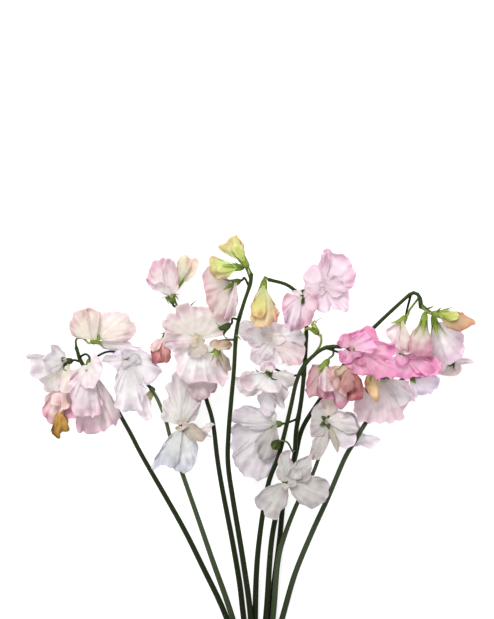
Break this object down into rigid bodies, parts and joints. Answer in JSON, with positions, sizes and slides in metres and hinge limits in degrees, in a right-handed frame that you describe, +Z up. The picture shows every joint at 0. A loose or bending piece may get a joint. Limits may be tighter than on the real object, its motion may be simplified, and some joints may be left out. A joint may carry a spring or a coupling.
{
  "type": "bunch of cut sweet pea flowers",
  "caption": "Loose bunch of cut sweet pea stems lying flat, with ruffled pale pink and white blossoms, buds and withered flowers.",
  "frame": {"origin": "on the surface the bunch lies on, below the middle of its box", "axes": "+Z up from the surface, +Y from the cut ends to the blossoms, +X across the bunch"},
  "size_m": [0.3372, 0.329, 0.0787],
  "materials": {
    "stem_green": "fresh green stem, stalk and calyx, soft satin",
    "petal_white": "thin petal, near white with a lavender cast",
    "petal_pink": "thin petal, pale pink",
    "petal_vivid": "thin petal, strong pink",
    "petal_peach": "thin petal, peach",
    "petal_cream": "thin petal, cream to beige",
    "petal_spent": "withered petal, coral to crimson and brown",
    "bud_yellow": "closed bud, yellow-green"
  },
  "bodies": {
    "root": {"stem_a": "stem_green", "stem_b": "stem_green", "stem_c": "stem_green", "stem_d": "stem_green", "stem_f": "stem_green", "stem_i": "stem_green", "stem_j": "stem_green", "stem_k": "stem_green", "stem_l": "stem_green", "standard_a1": "petal_white", "wings_a1": "petal_white", "standard_a3": "petal_pink", "wings_a3": "petal_pink", "standard_a4": "petal_peach", "standard_a5": "petal_white", "wings_a5": "petal_white", "standard_c1": "petal_pink", "standard_c3": "petal_white", "wings_c3": "petal_white", "standard_c5": "petal_pink", "standard_c6": "petal_white", "wings_c6": "petal_white", "keel_c6": "petal_cream", "standard_d1": "petal_pink", "standard_f1": "petal_vivid", "wings_f1": "petal_vivid", "standard_f2": "petal_white", "wings_f2": "petal_pink", "standard_i1": "petal_pink", "wings_i1": "petal_pink", "standard_i2": "petal_pink", "standard_i4": "petal_white", "wings_i4": "petal_pink", "standard_i5": "petal_white", "wings_i5": "petal_white", "standard_i6": "petal_white", "standard_j1": "petal_cream", "standard_j2": "petal_pink", "standard_j4": "petal_pink", "standard_j5": "petal_pink", "standard_k1": "petal_white", "left_wing_k1": "petal_white", "right_wing_k1": "petal_white", "standard_k2": "petal_white", "left_wing_k2": "petal_white", "right_wing_k2": "petal_white", "standard_k3": "petal_white", "standard_l1": "petal_white", "standard_l2": "petal_white", "standard_l3": "petal_pink", "spent_a2": "petal_spent", "bud_c2": "petal_peach", "spent_c4": "petal_spent", "bud_d2": "bud_yellow", "bud_d3": "bud_yellow", "spent_d4": "petal_spent", "spent_f3": "petal_spent", "bud_f4": "petal_peach", "bud_i3": "bud_yellow", "bud_j3": "petal_peach"}
  },
  "joints": []
}
